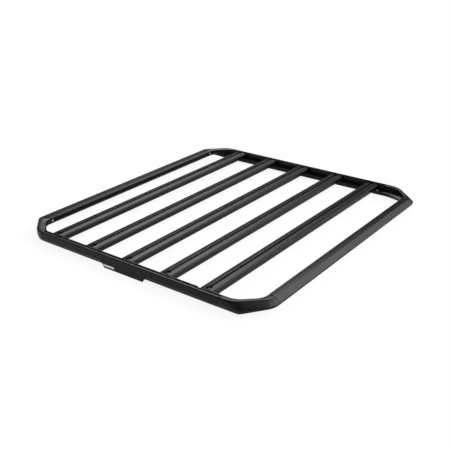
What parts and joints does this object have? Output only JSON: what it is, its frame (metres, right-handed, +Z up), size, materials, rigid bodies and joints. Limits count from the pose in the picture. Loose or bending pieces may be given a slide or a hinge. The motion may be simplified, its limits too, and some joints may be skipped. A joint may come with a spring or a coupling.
{
  "type": "flat platform roof rack",
  "caption": "Flat platform roof rack: slotted black slats bolted across two side rails, with end rails and slanted cast corners.",
  "frame": {"origin": "centre of the rack's footprint, on the level that the side plates stand on", "axes": "+X across the vehicle to its right, along the slats; +Y to the vehicle's rear, so that the sloped front rail is at -Y; +Z up"},
  "size_m": [1.5, 1.35, 0.061],
  "materials": {
    "rail_black": "satin black powder coat over aluminium extrusion",
    "cast_corner": "fine textured black coat over cast aluminium",
    "side_plate": "satin black powder coat",
    "badge": "plain blank pale plate",
    "bolt_steel": "zinc plated"
  },
  "bodies": {
    "root": {"side_rail_left": "rail_black", "side_rail_right": "rail_black", "front_rail": "rail_black", "rear_rail": "rail_black", "slat_1": "rail_black", "slat_2": "rail_black", "slat_3": "rail_black", "slat_4": "rail_black", "slat_5": "rail_black", "corner_front_left": "cast_corner", "corner_front_right": "cast_corner", "corner_rear_left": "cast_corner", "corner_rear_right": "cast_corner", "side_plate_left": "side_plate", "side_plate_right": "side_plate", "badge_left": "badge", "badge_right": "badge", "slat_bolt_1_left": "bolt_steel", "slat_bolt_2_left": "bolt_steel", "slat_bolt_3_left": "bolt_steel", "slat_bolt_4_left": "bolt_steel", "slat_bolt_5_left": "bolt_steel", "slat_bolt_1_right": "bolt_steel", "slat_bolt_2_right": "bolt_steel", "slat_bolt_3_right": "bolt_steel", "slat_bolt_4_right": "bolt_steel", "slat_bolt_5_right": "bolt_steel", "plate_bolts_left": "bolt_steel", "plate_bolts_right": "bolt_steel", "tongue_screw_left": "bolt_steel", "tongue_screw_right": "bolt_steel", "ledge_screw_left": "bolt_steel", "ledge_screw_right": "bolt_steel"}
  },
  "joints": []
}
